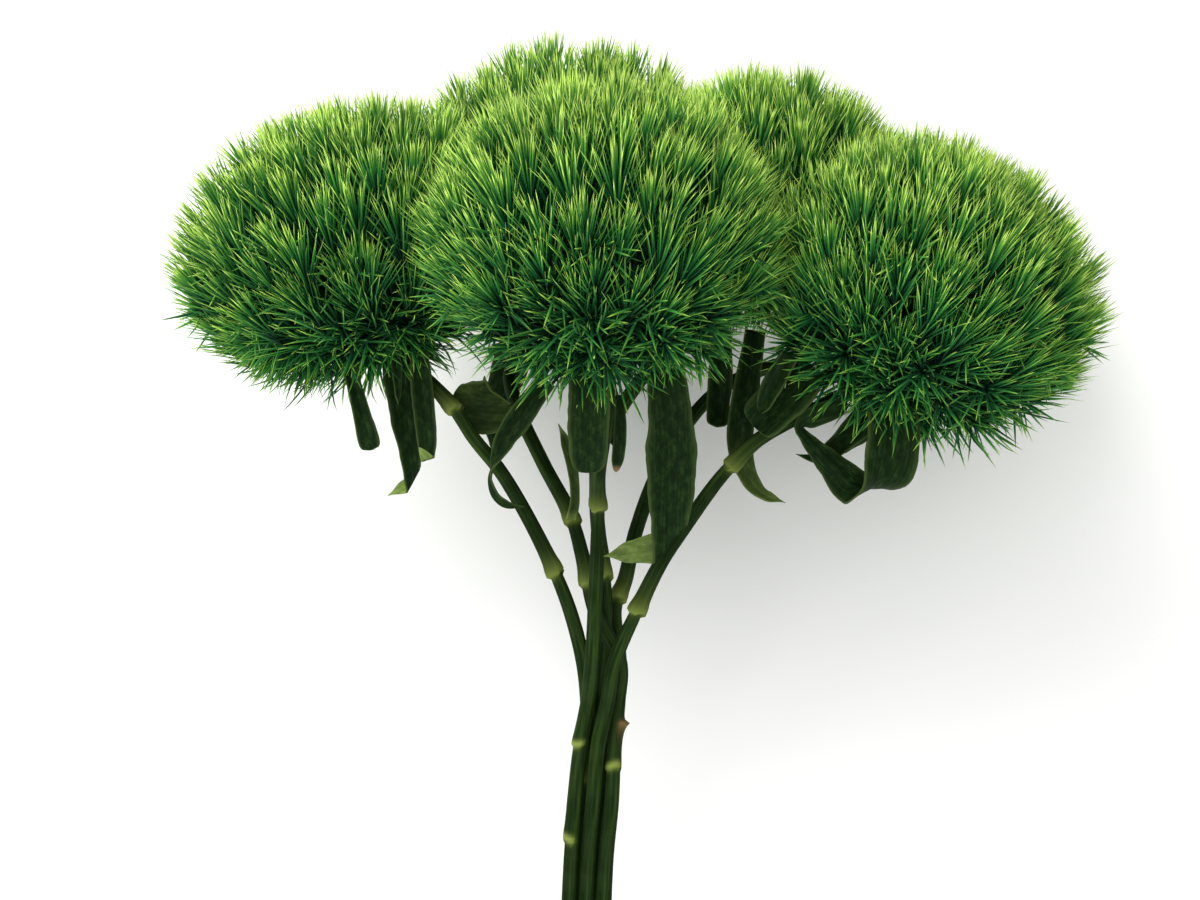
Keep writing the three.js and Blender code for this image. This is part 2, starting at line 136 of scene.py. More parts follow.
# route: from where the leaf leaves its stem to its tip. Every list of pairs starts with a share of the length.
# widths: the blade's width. faces: the way its upper side looks. pale: how much of the light underside shows.
# end: 5 for a rounded end, 40 for a square one. cup: how far the edges rise, and roll: how far the left one rolls
# over, as parts of the half width. brown: the share of the length from which the tip is dry. fold: where the tip is
# folded over, which way, in front (1) or behind (-1), and how pale it is.
LEAVES = {
    "leaf_left_outer": dict(
        route=[
            (-70, 262.1, 9), (-68.3, 255.1, 9), (-66.2, 246.4, 9.5), (-64.3, 239.2, 9.5), (-62.7, 233.2, 9),
            (-61.8, 229.7, 8.5),
        ],
        widths=[(0, 4.2), (0.45, 4), (0.7, 4.8), (0.9, 5.8), (1, 5.6)], end=60, cup=0.3,
        faces=[(0, (-0.5, 0, 1)), (0.55, (0.4, 0, 1)), (1, (-0.2, 0.1, 1))],
    ),
    "leaf_left_long": dict(
        route=[
            (-56.9, 263.9, -4), (-55.3, 253.8, -4), (-53.6, 243.4, -4), (-52.5, 233.8, -3.5),
            (-51.6, 226.1, -3), (-51.2, 220.4, -2.5), (-50.5, 213.3, -2),
        ],
        widths=[(0, 6), (0.3, 9.4), (0.5, 8.6), (0.7, 5.8), (0.82, 4.4), (0.9, 3.6), (1, 0.3)], end=40, cup=0.3,
        faces=[(0, (0, 0, 1)), (1, (0.1, 0.2, 1))],
        fold=dict(at=(-51, 221.3), way=(0.88, -0.47), side=-1, pale=1),
    ),
    "leaf_left_short": dict(
        route=[
            (-49.2, 260.8, 8), (-48.7, 252.7, 8), (-47.9, 243.2, 8), (-47, 235.1, 8.5), (-46.6, 228.3, 9),
            (-46.5, 223.2, 9),
        ],
        widths=[(0, 4.5), (0.4, 6), (0.75, 5.6), (0.9, 4.6), (1, 3)], end=8, cup=0.25,
        faces=[(0, (0.2, 0.1, 1)), (1, (-0.1, 0, 1))],
        fold=dict(at=(-46.3, 227.2), way=(0.3, -0.95), side=1, pale=0.8),
    ),
    "leaf_left_inner": dict(
        route=[(-57.5, 262, 8), (-56, 258, 8), (-55, 251.5, 8), (-54.5, 242, 8)],
        widths=[(0, 2.4), (0.5, 2.9), (0.85, 1.8), (1, 0.3)], end=20, cup=0.3,
        faces=[(0, (0, 0, 1)), (1, (0.4, 0, 1))],
    ),
    "leaf_left_curl": dict(
        route=[
            (-39.6, 245.5, -2), (-37.2, 244.2, -2.8), (-34.4, 242.5, -3.2), (-30.9, 241.7, -3),
            (-27.3, 241.4, -1.5), (-24.2, 241.9, 1),
        ],
        widths=[(0, 6), (0.12, 10.5), (0.3, 14.5), (0.5, 16), (0.75, 15.4), (0.92, 12), (1, 6)], end=5, cup=0.2,
        faces=[(0, (0.1, -0.1, 1)), (0.5, (0, 0, 1)), (1, (-0.5, -0.1, 1))],
        pale=[(0, 0.15), (0.5, 0.05), (1, 0.1)],
        roll=0.8,
    ),
    "leaf_neck_twist": dict(
        route=[
            (-14.5, 248.5, 13.5), (-18.5, 242.9, 14), (-22, 237.8, 14), (-25.3, 233.2, 13.5),
            (-27.7, 228.1, 13), (-29.1, 224.2, 12), (-29.4, 221.1, 11), (-27.8, 217, 10.5),
            (-24.7, 214.9, 10.5), (-20.2, 214.4, 11),
        ],
        widths=[(0, 5.5), (0.3, 7), (0.45, 5.4), (0.56, 3.4), (0.66, 2.6), (0.85, 2.8), (1, 0.4)], end=40, cup=0.25,
        faces=[
            (0, (0.3, 0.2, 1)), (0.5, (0.1, 0, 1)), (0.64, (-1, 0.3, 0.1)), (0.8, (-0.6, -0.5, 0.8)),
            (1, (-0.3, -0.6, 0.8)),
        ],
    ),
    "leaf_neck_thin": dict(
        route=[
            (-8.1, 210.8, -3), (-7, 215.5, -1.5), (-7.1, 221.5, 0), (-8.2, 227.8, 0), (-9.8, 233.2, 0),
            (-11.4, 236.8, 0),
        ],
        widths=[(0, 3), (0.3, 2.6), (0.75, 3), (1, 0.5)], end=20, cup=0.35,
        faces=[(0, (0.6, 0.2, 1)), (0.5, (0.2, 0, 1)), (1, (-0.4, 0.1, 1))],
        pale=[(0, 0.6), (0.12, 0.1), (0.85, 0.1), (1, 0.6)],
    ),
    "leaf_front_left": dict(
        route=[(-2.7, 250, 52), (-2.9, 241.5, 51), (-3, 234.5, 47.5), (-3, 228, 43), (-3, 223.8, 39)],
        widths=[(0, 10.4), (0.4, 10.8), (0.8, 9.8), (1, 8.6)], end=16, cup=0.22,
        faces=[(0, (0, 0.3, 1)), (1, (0, 0.5, 1))],
    ),
    "leaf_front_right": dict(
        route=[(5, 244.1, 39), (5.2, 237.6, 38.5), (5, 230.8, 37), (4.2, 223.9, 35.5)],
        widths=[(0, 2.6), (0.5, 3.6), (0.8, 3.4), (1, 2.6)], end=12, cup=0.3,
        faces=[(0, (0.3, 0.3, 1)), (1, (0.2, 0.4, 1))],
        brown=0.9,
    ),
    "leaf_front_long": dict(
        route=[
            (16.3, 256.1, 34), (17.6, 247.6, 36), (18.4, 238.9, 35), (18.8, 229.2, 32), (18.8, 218.8, 30),
            (18.5, 212.5, 29.5), (18.3, 205.9, 29.5), (18, 199.2, 29.5), (17.7, 192.6, 29.5),
            (17.5, 186.8, 29.5),
        ],
        widths=[
            (0, 9), (0.25, 11.4), (0.38, 13.6), (0.55, 12.4), (0.68, 9.6), (0.79, 8.2), (0.9, 6), (1, 0.6),
        ],
        end=30, cup=0.16,
        faces=[(0, (0, 0.3, 1)), (1, (0.1, 0.3, 1))],
        fold=dict(at=(15.1, 200.8), way=(0.747, -0.664), side=-1, pale=0.4),
    ),
    "leaf_middle": dict(
        route=[(33, 262, 4), (32.5, 247.5, 3), (32, 242, 3), (31.6, 236, 5)],
        widths=[(0, 5), (0.5, 6.8), (0.85, 6.2), (1, 5.8)], end=50, cup=0.3,
        faces=[(0, (0, 0, 1)), (1, (0.3, 0, 1))],
    ),
    "leaf_right_hanging": dict(
        route=[(42, 262, 7), (39, 243, 8), (37.7, 232.5, 8), (39, 225, 8), (43, 218.5, 9), (50, 215.5, 10)],
        widths=[(0, 5.5), (0.4, 7.6), (0.62, 7), (0.78, 5), (0.9, 3), (1, 0.3)], end=40, cup=0.28,
        faces=[(0, (0.1, 0, 1)), (1, (0.3, 0.2, 1))],
        pale=[(0.5, 0), (0.75, 0.2), (1, 0.35)],
    ),
    "leaf_right_broad": dict(
        route=[(56.1, 251.9, 31), (52.4, 247.2, 31), (47.9, 242.7, 30), (44, 239, 29), (41, 235.8, 28)],
        widths=[(0, 10.5), (0.4, 13.4), (0.8, 12.6), (1, 11)], end=40, cup=0.22,
        faces=[(0, (-0.1, 0.3, 1)), (1, (-0.3, 0.3, 1))],
    ),
    "leaf_right_inner": dict(
        route=[(49.9, 254.4, 38), (47.1, 249.7, 37), (44.5, 244.7, 36), (42.4, 239.4, 35)],
        widths=[(0, 5), (0.5, 6), (0.85, 5), (1, 3.6)], end=8, cup=0.35,
        faces=[(0, (-0.1, 0.3, 1)), (1, (-0.3, 0.4, 1))],
    ),
    "leaf_right_loop": dict(
        route=[
            (76.7, 246.1, 31), (77.4, 238.9, 32), (77.3, 231, 33), (75.8, 223.9, 32.5), (72, 219.4, 30),
            (67.2, 220.1, 26), (62.9, 224.4, 23.5), (58.1, 229.4, 23), (54.6, 233.2, 24), (53.1, 235.5, 26),
            (55.4, 237.9, 28), (59.9, 239.8, 28.5), (65.7, 241.9, 28.5),
        ],
        widths=[
            (0, 13.4), (0.3, 14.4), (0.42, 13.6), (0.52, 10), (0.62, 7), (0.7, 4.6), (0.77, 3), (0.86, 6), (1, 6.4),
        ],
        end=30, cup=0.12,
        faces=[
            (0, (0.1, 0.1, 1)), (0.26, (0.1, -0.15, 1)), (0.42, (0.33, -0.94, 0)), (0.52, (0.25, -0.4, -1)),
            (0.68, (0.2, -0.2, -1)), (0.78, (-0.6, -0.2, -1)), (0.9, (-0.3, 0.2, -1)), (1, (-0.2, 0.3, -1)),
        ],
    ),
    "leaf_right_lower": dict(
        route=[
            (75.7, 245.3, 15), (71.9, 239.1, 16), (67, 234, 17), (62.2, 229.7, 17.5), (57.6, 227.6, 18),
            (52.4, 228.6, 19),
        ],
        widths=[(0, 6), (0.35, 7.4), (0.65, 5.4), (0.8, 2.8), (1, 0.3)], end=40, cup=0.28,
        faces=[(0, (0.1, 0.1, 1)), (1, (-0.2, 0.2, 1))],
    ),
    "leaf_back_left": dict(
        route=[(-22, 268, -46), (-26, 252, -51), (-30, 239, -53), (-29, 227, -52)],
        widths=[(0, 6), (0.35, 10.4), (0.7, 8), (0.9, 4), (1, 0.4)], end=40, cup=0.3,
        faces=[(0, (-0.2, 0.1, -1)), (1, (0, 0.2, -1))],
        pale=[(0.88, 0), (1, 0.7)],
    ),
    "leaf_back_middle": dict(
        route=[(-8, 268, -50), (-2, 253, -54), (3, 240, -54), (4, 230, -51)],
        widths=[(0, 5.5), (0.35, 9.4), (0.7, 7.4), (0.9, 4.4), (1, 0.6)], end=20, cup=0.3,
        faces=[(0, (0.2, 0, -1)), (1, (0.1, -0.3, -1))],
    ),
    "leaf_far_right": dict(
        route=[(86, 262, -64), (81, 248, -69), (76, 236, -71), (68, 228, -70)],
        widths=[(0, 6), (0.35, 10.4), (0.7, 8), (0.9, 4), (1, 0.4)], end=40, cup=0.3,
        faces=[(0, (0.1, 0.1, -1)), (1, (0.2, 0.3, -1))],
        pale=[(0.88, 0), (1, 0.7)],
    ),
    "leaf_far_right_inner": dict(
        route=[(91, 262, -42), (92, 249, -38), (90, 238, -36), (84, 230, -37)],
        widths=[(0, 5), (0.4, 8.4), (0.75, 7), (0.92, 4.4), (1, 1)], end=14, cup=0.3,
        faces=[(0, (0.2, 0, 1)), (1, (0.4, 0.2, 1))],
    ),
}

# ---- laying the bouquet down

UPRIGHT = Vector((0, 0, 1))
LYING_TILT = math.radians(18.148)  # heads and cut ends both touch the table


def tie_middle():
    """The middle of the tie in the bouquet's own frame."""
    slots = [stem["slots"][0] for stem in STEMS.values()]
    halfway = [(min(axis) + max(axis)) / 2 * PITCH for axis in zip(*slots)]
    return Vector((dict(STATIONS)[TIE_HEIGHT] + halfway[0], TIE_HEIGHT, halfway[1]))


def lying_matrix():
    """From the bouquet's own frame to the table, with the tie's middle where the CAD has it."""
    tilt = Matrix.Rotation(LYING_TILT, 4, "X")
    low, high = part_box("twine_tie")
    cad_middle = (low + high) * 500  # half the sum, in millimetres
    return Matrix.Scale(0.001, 4) @ Matrix.Translation(cad_middle - tilt @ tie_middle()) @ tilt


LYING = lying_matrix()

# ---- finishes


def linear(hex_colour):
    channels = [int(hex_colour[i:i + 2], 16) / 255 for i in (1, 3, 5)]
    return [c / 12.92 if c <= 0.04045 else ((c + 0.055) / 1.055) ** 2.4 for c in channels] + [1]


def add_node(tree, kind, links=None, stops=(), **settings):
    """A node of that kind. Settings name its properties, links give its input sockets by name or number, and stops
    are a colour ramp's places and colours. Of a Mix node's sockets 0 is the share of the second input, 2 and 3 are
    numbers, 6 and 7 are colours, and the mixed colour comes out at 2."""
    node = tree.nodes.new("ShaderNode" + kind)
    for name, value in settings.items():
        setattr(node, name, value)
    for socket, value in (links or {}).items():
        if isinstance(value, bpy.types.NodeSocket):
            tree.links.new(value, node.inputs[socket])
        else:
            node.inputs[socket].default_value = value
    if stops:
        elements = node.color_ramp.elements
        while len(elements) < len(stops):
            elements.new(0.5)
        for element, (place, colour) in zip(elements, stops):
            element.position = place
            element.color = linear(colour)
    return node


def new_material(name):
    material = bpy.data.materials.new(name)
    material.use_nodes = True
    tree = material.node_tree
    return material, tree, tree.nodes["Principled BSDF"]


def set_skin(tree, skin, colour, roughness, specular, relief=None):
    tree.links.new(colour, skin.inputs["Base Color"])
    if relief:
        tree.links.new(relief.outputs["Normal"], skin.inputs["Normal"])
    skin.inputs["Roughness"].default_value = roughness
    skin.inputs["Specular IOR Level"].default_value = specular


def streaks(tree, growth, stretch, **settings):
    """Noise that follows the growth of a piece. stretch: patches to a millimetre, each way."""
    stretched = add_node(tree, "VectorMath", {0: growth.outputs["Vector"], 1: stretch}, operation="MULTIPLY")
    return add_node(tree, "TexNoise", {"Vector": stretched.outputs[0], "Scale": 1.0, **settings}).outputs["Fac"]


def bristle_finish():
    """Living needle-like bracts: blue-green with painted shade at the dark base, yellow-green at the points, and
    lighter and yellower on the newest growth at the top of a head, partly painted light there. The waxy skin gives a
    soft sheen."""
    material, tree, skin = new_material("carnation_bract")
    growth = add_node(tree, "Attribute", attribute_name="growth")
    parts = add_node(tree, "SeparateXYZ", {"Vector": growth.outputs["Vector"]})
    along, chance, fresh_and_lit = parts.outputs
    spread = add_node(tree, "Math", {0: chance, 1: 0.2, 2: -0.15}, operation="MULTIPLY_ADD")
    # painted light: needles higher on the head are lighter, for newer growth and for light from above
    younger_and_lit = add_node(tree, "Math", {0: fresh_and_lit, 1: 0.17, 2: spread.outputs[0]}, operation="MULTIPLY_ADD")
    place = add_node(tree, "Math", {0: along, 1: younger_and_lit.outputs[0]}, operation="ADD")
    # the needle's own blue-green to yellow-green from base to point, with painted shade in the dark base deep in the
    # tuft
    colour = add_node(tree, "ValToRGB", {"Fac": place.outputs[0]}, stops=[
        (0.0, "#081f12"), (0.22, "#133e24"), (0.48, "#206030"), (0.7, "#3b8136"), (0.88, "#6da03a"), (1.0, "#b2d35e"),
    ])
    # patches about 18 mm across, as groups of tufts differ in age
    where = add_node(tree, "TexCoord")
    patches = add_node(tree, "TexNoise", {"Vector": where.outputs["Object"], "Scale": 55.0, "Detail": 2.0})
    shade = add_node(tree, "MapRange", {
        "Value": patches.outputs["Fac"], "From Min": 0.3, "From Max": 0.7, "To Min": 0.8, "To Max": 1.15,
    })
    lightness = add_node(tree, "MapRange", {"Value": chance, "To Min": 0.7, "To Max": 1.25})
    value = add_node(tree, "Math", {0: shade.outputs[0], 1: lightness.outputs[0]}, operation="MULTIPLY")
    tinted = add_node(tree, "HueSaturation", {"Color": colour.outputs["Color"], "Value": value.outputs[0]})
    set_skin(tree, skin, tinted.outputs["Color"], roughness=0.5, specular=0.1)
    return material


def stem_finish():
    """Carnation stem: smooth and slightly glaucous, with faint lengthwise ribs, pale swollen joints, a moist
    green-white cut and a dry brown scar where a leaf was torn off."""
    material, tree, skin = new_material("carnation_stem")
    growth = add_node(tree, "Attribute", attribute_name="growth")
    tint = add_node(tree, "Attribute", attribute_name="tint")
    kinds = add_node(tree, "SeparateXYZ", {"Vector": tint.outputs["Vector"]})
    # ribs about 0.6 mm apart round the stem and 25 mm long
    ribs = streaks(tree, growth, (1.7, 1.7, 0.04), Detail=3.0)
    green = add_node(tree, "ValToRGB", {"Fac": ribs}, stops=[
        (0.3, "#0f1a0a"), (0.5, "#18280f"), (0.72, "#2e421a"),
    ])
    # bloom in cloudy patches about 6 mm across
    cloud = add_node(tree, "TexNoise", {"Vector": growth.outputs["Vector"], "Scale": 0.16, "Detail": 4.0})
    bloom = add_node(tree, "MapRange", {
        "Value": cloud.outputs["Fac"], "From Min": 0.45, "From Max": 0.75, "To Max": 0.35,
    })
    colour = green.outputs["Color"]
    for share, mark in (
        (bloom.outputs[0], "#2f4122"),
        (kinds.outputs["X"], "#8f9f4c"),  # swollen joints
        (kinds.outputs["Y"], "#c3cf9a"),  # cut end
        (kinds.outputs["Z"], "#6b5a37"),  # torn scar
    ):
        colour = add_node(tree, "Mix", {0: share, 6: colour, 7: linear(mark)}, data_type="RGBA").outputs[2]
    relief = add_node(tree, "Bump", {"Height": ribs, "Strength": 0.35, "Distance": 0.0002})
    set_skin(tree, skin, colour, roughness=0.6, specular=0.02, relief=relief)
    return material


def leaf_finish():
    """Carnation leaf: thick, smooth and dark green above, with faint parallel veins, cloudy darker and lighter
    patches, a thin lighter edge that is partly its own paler colour and partly painted highlight, a pale olive
    underside where a tip folds over and a brown dried end."""
    material, tree, skin = new_material("carnation_leaf")
    growth = add_node(tree, "Attribute", attribute_name="growth")
    tint = add_node(tree, "Attribute", attribute_name="tint")
    kinds = add_node(tree, "SeparateXYZ", {"Vector": tint.outputs["Vector"]})
    # veins about 0.7 mm apart across the blade, running its whole length
    veins = streaks(tree, growth, (1.5, 0.03, 0.0), Detail=3.0)
    # patches about 4 mm long and 2 mm wide, with flecks of 0.5 mm in them
    cloud = streaks(tree, growth, (0.5, 0.25, 0.0), Detail=6.0, Roughness=0.65)
    mixed = add_node(tree, "Mix", {0: 0.68, 2: veins, 3: cloud})
    green = add_node(tree, "ValToRGB", {"Fac": mixed.outputs[0]}, stops=[
        (0.36, "#0b190b"), (0.5, "#14260f"), (0.64, "#253b1a"),
    ])
    under = add_node(tree, "ValToRGB", {"Fac": mixed.outputs[0]}, stops=[
        (0.36, "#5a7434"), (0.62, "#93a75a"),
    ])
    colour = green.outputs["Color"]
    for share, mark in (
        # the paler edge, partly its own colour and partly painted highlight where it catches the light
        (kinds.outputs["Y"], linear("#4c6031")),  # rim
        (kinds.outputs["X"], under.outputs["Color"]),
        (kinds.outputs["Z"], linear("#7d6a48")),  # dried end
    ):
        colour = add_node(tree, "Mix", {0: share, 6: colour, 7: mark}, data_type="RGBA").outputs[2]
    relief = add_node(tree, "Bump", {"Height": mixed.outputs[0], "Strength": 0.5, "Distance": 0.0003})
    set_skin(tree, skin, colour, roughness=0.5, specular=0.03, relief=relief)
    return material


def twine_finish():
    """Jute twine: two dry twisted plies, matt and straw-brown, with loose fibres that break up the colour."""
    material, tree, skin = new_material("jute_twine")
    growth = add_node(tree, "Attribute", attribute_name="growth")
    # fibres about 0.15 mm wide and 4 mm long
    fibres = streaks(tree, growth, (6.0, 6.0, 0.25), Detail=4.0)
    colour = add_node(tree, "ValToRGB", {"Fac": fibres}, stops=[
        (0.3, "#6d5532"), (0.52, "#a3855a"), (0.75, "#cdb487"),
    ])
    relief = add_node(tree, "Bump", {"Height": fibres, "Strength": 0.6, "Distance": 0.0002})
    set_skin(tree, skin, colour.outputs["Color"], roughness=0.9, specular=0.2, relief=relief)
    return material


BRACT = bristle_finish()
STEM = stem_finish()
LEAF = leaf_finish()
TWINE = twine_finish()

# ---- making pieces


def new_shape():
    """An empty bmesh with the two attributes that the finishes read."""
    shape = bmesh.new()
    return shape, shape.verts.layers.float_vector.new("growth"), shape.verts.layers.float_vector.new("tint")


def mesh_of(shape, name):
    mesh = bpy.data.meshes.new(name)
    shape.to_mesh(mesh)
    shape.free()
    return mesh


def add_object(name, data):
    thing = bpy.data.objects.new(name, data)
    bpy.context.scene.collection.objects.link(thing)
    return thing


def lay_piece(shape, node, material):
    """Turns a shape into the finished piece that stands for a CAD node, lying on the table."""
    mesh = mesh_of(shape, node + "_detail")
    mesh.transform(LYING)
    mesh.shade_smooth()
    mesh.materials.append(material)
    piece = add_object(node + "_detail", mesh)
    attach(piece, "root")
    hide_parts(node)
    return piece


FINE_STEPS = 24  # between two given points, and round a stem


def smooth_route(points, spacing):
    """Points about spacing apart along the centripetal curve through the given ones, ends included."""
    p = [Vector(q) for q in points]
    p = [p[0] * 2 - p[1], *p, p[-1] * 2 - p[-2]]
    dense = []
    for a, b, c, d in zip(p, p[1:], p[2:], p[3:]):
        before, span, after = (math.sqrt((v - u).length) for u, v in ((a, b), (b, c), (c, d)))
        start = ((b - a) / before - (c - a) / (before + span) + (c - b) / span) * span
        end = ((c - b) / span - (d - b) / (span + after) + (d - c) / after) * span
        for i in range(FINE_STEPS):
            t = i / FINE_STEPS
            dense.append(
                b + start * t + (c * 3 - b * 3 - start * 2 - end) * t ** 2 + (b * 2 - c * 2 + start + end) * t ** 3
            )
    dense.append(p[-2])
    travelled = [0]
    for u, v in zip(dense, dense[1:]):
        travelled.append(travelled[-1] + (v - u).length)
    count = max(2, round(travelled[-1] / spacing))
    even, at = [], 0
    for i in range(count + 1):
        goal = travelled[-1] * i / count
        while at < len(dense) - 2 and travelled[at + 1] < goal:
            at += 1
        step = travelled[at + 1] - travelled[at]
        even.append(dense[at].lerp(dense[at + 1], (goal - travelled[at]) / step))
    return even


def eased(value, low, high):
    """0 at low, 1 at high, smooth between them."""
    share = min(1, max(0, (value - low) / (high - low)))
    return share * share * (3 - 2 * share)


def headings(route):
    """Unit directions along a route, one at each point."""
    return [
        (route[min(i + 1, len(route) - 1)] - route[max(i - 1, 0)]).normalized() for i in range(len(route))
    ]


def extrude_ring(shape, ring):
    """The new ring of vertices that extruding a ring's edges makes."""
    inside = set(ring)
    edges = {e for v in ring for e in v.link_edges if all(end in inside for end in e.verts)}
    made = bmesh.ops.extrude_edge_only(shape, edges=list(edges))["geom"]
    return [v for v in made if isinstance(v, bmesh.types.BMVert)]


def sweep(shape, growth, tint, route, radius_at, tint_at, sides):
    """A round tube along a route, made by extruding a ring from point to point. radius_at and tint_at get the
    length travelled and the angle round the tube. growth gets that angle as a direction, and the length."""
    ahead = headings(route)
    turn = UPRIGHT.rotation_difference(ahead[0])
    travelled = 0
    ring = bmesh.ops.create_circle(shape, cap_ends=False, radius=1, segments=sides)["verts"]
    for v in ring:
        v[growth] = (v.co.x, v.co.y, 0)
    first = list(ring)
    for i, (place, heading) in enumerate(zip(route, ahead)):
        if i:
            turn = ahead[i - 1].rotation_difference(heading) @ turn
            travelled += (place - route[i - 1]).length
            ring = extrude_ring(shape, ring)
        for v in ring:
            angle = math.atan2(v[growth].y, v[growth].x)
            v.co = place + turn @ Vector((v[growth].x, v[growth].y, 0)) * radius_at(travelled, angle)
            v[growth] = (v[growth].x, v[growth].y, travelled)
            v[tint] = tint_at(travelled, angle)
    return first, ring


def fill_ring(shape, ring):
    """Closes the open end of a tube, and gives the new face."""
    inside = set(ring)
    edges = [e for v in ring for e in v.link_edges if all(end in inside for end in e.verts) and e.is_boundary]
    return bmesh.ops.contextual_create(shape, geom=list(set(edges)))["faces"]


# ---- stems

STEM_SPACING = 0.8
STEM_SIDES = 16
CUT_END_WIDTH, LOST_WIDTH = 1.04, 0.16  # a stem's width at its cut end, and how much of it is lost on the way up
RECEPTACLE_DEPTH = 0.42  # below a head's middle, as a part of its radius
LIP_SLANT, LIP_NOTCH = 0.8, 1.3  # how far a joint's lip slants across the stem, and dips on one side
SCAR_PROUD = 1.7


def receptacle(head):
    """Where the stem ends inside the head and its branches begin."""
    return Vector(head["middle"]) - Vector(head["lean"]).normalized() * head["radius"] * RECEPTACLE_DEPTH


def stem_points(stem):
    """The stem's middle line, from its cut end into its head."""
    points = []
    for i, (height, x) in enumerate(STATIONS):
        slot = stem["slots"][max(0, i - LAST_PARALLEL)]
        points.append((x + slot[0] * PITCH, height, slot[1] * PITCH))
    return points + stem["branch"][:-1] + [tuple(receptacle(HEADS[stem["head"]]))]


def make_stem(name, stem):
    shape, growth, tint = new_shape()
    route = smooth_route(stem_points(stem), STEM_SPACING)
    joints, scars = [], []
    travelled = 0
    waiting = list(stem["joints"])
    for a, b in zip(route, route[1:]):
        if waiting and b.y >= waiting[0][0]:
            chance = random.Random(f"{name} {len(joints)}")
            joints.append((travelled, *waiting.pop(0)[1:], chance.uniform(-math.pi, math.pi)))
        if "scar" in stem and a.y < stem["scar"][0] <= b.y:
            scars.append((travelled, stem["scar"][1]))
        travelled += (b - a).length
    whole = travelled

    def past_lip(joint, turned, travelled, angle):
        """Distance beyond a joint's lip, which slants and dips to a notch on one side."""
        notch = max(0, math.cos(angle - turned)) ** 6
        return travelled - joint - LIP_SLANT * math.cos(angle - turned) + LIP_NOTCH * notch

    def torn(travelled, angle):
        """How much of the torn-off leaf's scar is here: sharp above, running out below."""
        near = [
            (math.exp((travelled - at) / 1.8) if travelled < at else math.exp((at - travelled) / 0.5))
            * eased(math.cos(angle - side), 0.35, 0.9)
            for at, side in scars
        ]
        return max(near, default=0)

    def radius_at(travelled, angle):
        radius = STEM_DIAMETER / 2 * (CUT_END_WIDTH - LOST_WIDTH * travelled / whole)
        radius += SCAR_PROUD * torn(travelled, angle)
        for joint, swell, *side, turned in joints:
            past = past_lip(joint, turned, travelled, angle)
            swell *= eased(math.cos(angle - side[0]), -0.9, 0.6) if side else 1
            if past >= 0:  # the joint bulges a little past its lip and thins out over about 5 mm
                radius += swell * (0.25 * math.exp(-((past - 2.2) / 1.6) ** 2) + 0.85 * math.exp(-past / 4.6))
            else:  # the stem is pinched before the lip
                radius -= 0.32 * swell * math.exp(past / 9)
        return radius

    def tint_at(travelled, angle):
        """How pale the joint is here, then the cut end, then the scar."""
        pale = 0
        for joint, swell, *side, turned in joints:
            past = past_lip(joint, turned, travelled, angle)
            if side:
                near = 0.7 * math.exp(-((past - 0.9) / 1.1) ** 2) * eased(math.cos(angle - side[0]), 0.2, 0.75)
            else:
                near = math.exp(-past / 2.6) if past >= 0 else 0.4 * math.exp(past / 0.6)
                near *= min(0.6, 0.2 + swell / 2)
            pale = max(pale, near)
        return (pale, 0, min(1, 1.4 * torn(travelled, angle)))

    cut_ring, _ = sweep(shape, growth, tint, route, radius_at, tint_at, STEM_SIDES)
    # the moist cut has a thin skin round it and a slightly sunk pith
    cut_face = fill_ring(shape, cut_ring)
    bmesh.ops.inset_individual(shape, faces=cut_face, thickness=0.35)
    for face in cut_face:
        for v in face.verts:
            v[tint] = (0, 1, 0)
    bmesh.ops.inset_individual(shape, faces=cut_face, thickness=0.8, depth=-0.25)
    bmesh.ops.recalc_face_normals(shape, faces=shape.faces)
    return lay_piece(shape, name, STEM)


for name, stem in STEMS.items():
    make_stem(name, stem)

# ---- leaves

LEAF_STEPS = 60
LEAF_CELLS = 12
LEAF_SPACING = 0.5
LEAF_THICKNESS = 0.45
NEVER_BROWN = 2  # past the tip, which is at 1


def at_share(keys, share):
    """The value of a list of (share, value) pairs at a share of the length."""
    share = max(share, keys[0][0])
    for (low, start), (high, end) in zip(keys, keys[1:]):
        if share <= high:
            part = (share - low) / (high - low)
            if isinstance(start, tuple):
                return Vector(start).lerp(Vector(end), part)
            return start + (end - start) * part * part * (3 - 2 * part)
    return keys[-1][1]


